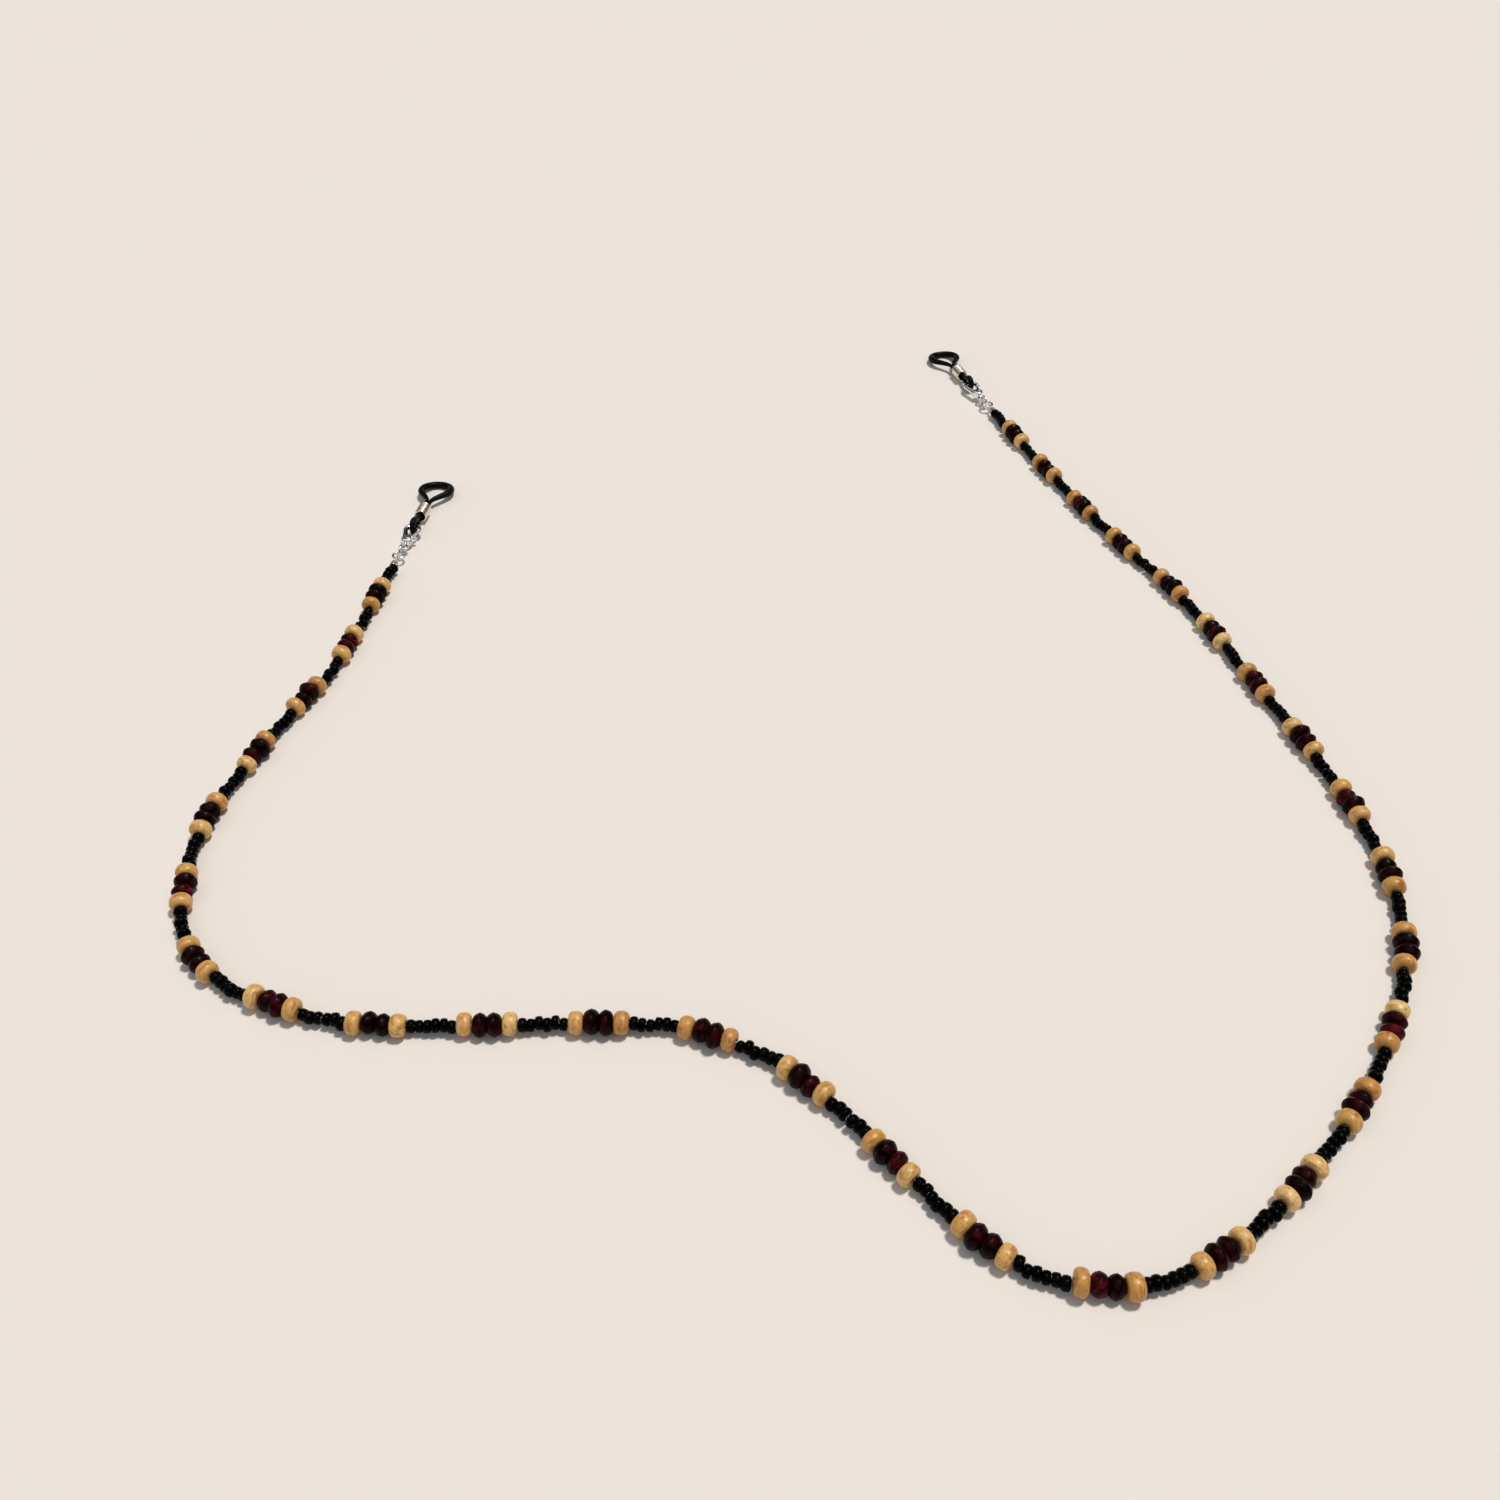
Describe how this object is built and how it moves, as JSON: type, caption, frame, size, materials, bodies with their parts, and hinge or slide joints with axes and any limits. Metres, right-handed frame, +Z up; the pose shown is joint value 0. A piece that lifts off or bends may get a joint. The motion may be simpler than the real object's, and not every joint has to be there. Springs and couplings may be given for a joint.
{
  "type": "eyeglass retainer strap",
  "caption": "Beaded eyeglass retainer strap: wood and black glass beads on a thread, with a lobster clasp, jump rings and a coil-gripped rubber temple loop at each end.",
  "frame": {"origin": "centre of the laid-out strap's bounding box, on the table that it lies on", "axes": "+Z up from the table; +Y from the hanging bight towards the two ends, along the longest extent; +X towards the right end"},
  "size_m": [0.2384, 0.3064, 0.0047],
  "materials": {
    "light_wood": "varnished",
    "dark_wood": "varnished, burgundy stain",
    "seed_glass": "opaque black, glossy",
    "nylon": "clear nylon",
    "crimp_metal": "satin",
    "ring_metal": "polished",
    "clasp_metal": "polished",
    "spring_steel": "drawn wire",
    "coil_metal": "polished wire",
    "loop_rubber": "satin"
  },
  "bodies": {
    "strand_1": {"strand_1_thread": "nylon", "strand_1_seed_beads": "seed_glass", "strand_1_light_beads": "light_wood", "strand_1_dark_beads": "dark_wood", "left_crimp_bead": "crimp_metal", "left_thread_loop": "nylon"},
    "strand_2": {"strand_2_thread": "nylon", "strand_2_seed_beads": "seed_glass", "strand_2_light_beads": "light_wood", "strand_2_dark_beads": "dark_wood"},
    "strand_3": {"strand_3_thread": "nylon", "strand_3_seed_beads": "seed_glass", "strand_3_light_beads": "light_wood", "strand_3_dark_beads": "dark_wood"},
    "strand_4": {"strand_4_thread": "nylon", "strand_4_seed_beads": "seed_glass", "strand_4_light_beads": "light_wood", "strand_4_dark_beads": "dark_wood"},
    "strand_5": {"strand_5_thread": "nylon", "strand_5_seed_beads": "seed_glass", "strand_5_light_beads": "light_wood", "strand_5_dark_beads": "dark_wood"},
    "strand_6": {"strand_6_thread": "nylon", "strand_6_seed_beads": "seed_glass", "strand_6_light_beads": "light_wood", "strand_6_dark_beads": "dark_wood"},
    "strand_7": {"strand_7_thread": "nylon", "strand_7_seed_beads": "seed_glass", "strand_7_light_beads": "light_wood", "strand_7_dark_beads": "dark_wood", "right_crimp_bead": "crimp_metal", "right_thread_loop": "nylon"},
    "left_strand_ring": {"left_strand_ring": "ring_metal"},
    "left_clasp_ring": {"left_clasp_ring": "ring_metal"},
    "left_clasp": {"left_clasp_body": "clasp_metal", "left_clasp_rivet": "clasp_metal", "left_clasp_spring": "spring_steel"},
    "left_lever": {"left_clasp_lever": "clasp_metal"},
    "left_rubber_loop": {"left_rubber_loop": "loop_rubber"},
    "left_coil": {"left_loop_coil": "coil_metal"},
    "right_strand_ring": {"right_strand_ring": "ring_metal"},
    "right_clasp_ring": {"right_clasp_ring": "ring_metal"},
    "right_clasp": {"right_clasp_body": "clasp_metal", "right_clasp_rivet": "clasp_metal", "right_clasp_spring": "spring_steel"},
    "right_lever": {"right_clasp_lever": "clasp_metal"},
    "right_rubber_loop": {"right_rubber_loop": "loop_rubber"},
    "right_coil": {"right_loop_coil": "coil_metal"}
  },
  "joints": [
    {"name": "bend_1", "type": "hinge", "parent": "strand_2", "child": "strand_1", "pos_m": [-0.11447, -0.0424, 0.002], "axis": [0, 0, 1], "range_deg": [-15, 15]},
    {"name": "bend_2", "type": "hinge", "parent": "strand_3", "child": "strand_2", "pos_m": [-0.08206, -0.10187, 0.002], "axis": [0, 0, -1], "range_deg": [-15, 15]},
    {"name": "bend_3", "type": "hinge", "parent": "strand_4", "child": "strand_3", "pos_m": [0.00928, -0.12197, 0.002], "axis": [0, 0, 1], "range_deg": [-15, 15]},
    {"name": "bend_4", "type": "hinge", "parent": "strand_4", "child": "strand_5", "pos_m": [0.08725, -0.12713, 0.002], "axis": [0, 0, 1], "range_deg": [-15, 15]},
    {"name": "bend_5", "type": "hinge", "parent": "strand_5", "child": "strand_6", "pos_m": [0.11366, -0.03827, 0.002], "axis": [0, 0, -1], "range_deg": [-15, 15]},
    {"name": "bend_6", "type": "hinge", "parent": "strand_6", "child": "strand_7", "pos_m": [0.09193, 0.03658, 0.002], "axis": [0, 0, 1], "range_deg": [-15, 15]},
    {"name": "left_strand_ring_lift", "type": "hinge", "parent": "strand_1", "child": "left_strand_ring", "pos_m": [-0.09552, 0.03917, 0.002], "axis": [0.9915, -0.1303, 0], "range_deg": [0, 50]},
    {"name": "left_clasp_ring_swing", "type": "hinge", "parent": "left_strand_ring", "child": "left_clasp_ring", "pos_m": [-0.09523, 0.04136, 0.0018], "axis": [0, 0, 1], "range_deg": [-25, 25]},
    {"name": "left_clasp_swing", "type": "hinge", "parent": "left_clasp_ring", "child": "left_clasp", "pos_m": [-0.09485, 0.04428, 0.0018], "axis": [0, 0, 1], "range_deg": [-35, 35]},
    {"name": "left_lever_open", "type": "hinge", "parent": "left_clasp", "child": "left_lever", "pos_m": [-0.09413, 0.04705, 0.00207], "axis": [-0.0057, -0.0436, 0.999], "range_deg": [0, 22], "stiffness_Nm_per_rad": 0.0005, "springref_deg": -17.19},
    {"name": "left_rubber_loop_lift", "type": "hinge", "parent": "left_clasp", "child": "left_rubber_loop", "pos_m": [-0.09364, 0.05344, 0.00235], "axis": [0.9915, -0.1303, 0], "range_deg": [0, 60]},
    {"name": "left_coil_slide", "type": "slide", "parent": "left_rubber_loop", "child": "left_coil", "axis": [0.1303, 0.9914, -0.014], "range_m": [0, 0.0024]},
    {"name": "right_strand_ring_lift", "type": "hinge", "parent": "strand_7", "child": "right_strand_ring", "pos_m": [0.06297, 0.11701, 0.002], "axis": [0.9531, 0.3027, 0], "range_deg": [0, 50]},
    {"name": "right_clasp_ring_swing", "type": "hinge", "parent": "right_strand_ring", "child": "right_clasp_ring", "pos_m": [0.0623, 0.1191, 0.0018], "axis": [0, 0, 1], "range_deg": [-25, 25]},
    {"name": "right_clasp_swing", "type": "hinge", "parent": "right_clasp_ring", "child": "right_clasp", "pos_m": [0.06141, 0.12191, 0.0018], "axis": [0, 0, 1], "range_deg": [-35, 35]},
    {"name": "right_lever_open", "type": "hinge", "parent": "right_clasp", "child": "right_lever", "pos_m": [0.06088, 0.12473, 0.00207], "axis": [0.0133, -0.0419, 0.999], "range_deg": [0, 22], "stiffness_Nm_per_rad": 0.0005, "springref_deg": -17.19},
    {"name": "right_rubber_loop_lift", "type": "hinge", "parent": "right_clasp", "child": "right_rubber_loop", "pos_m": [0.05861, 0.13072, 0.00235], "axis": [0.9531, 0.3027, 0], "range_deg": [0, 60]},
    {"name": "right_coil_slide", "type": "slide", "parent": "right_rubber_loop", "child": "right_coil", "axis": [-0.3026, 0.953, -0.014], "range_m": [0, 0.0024]}
  ]
}
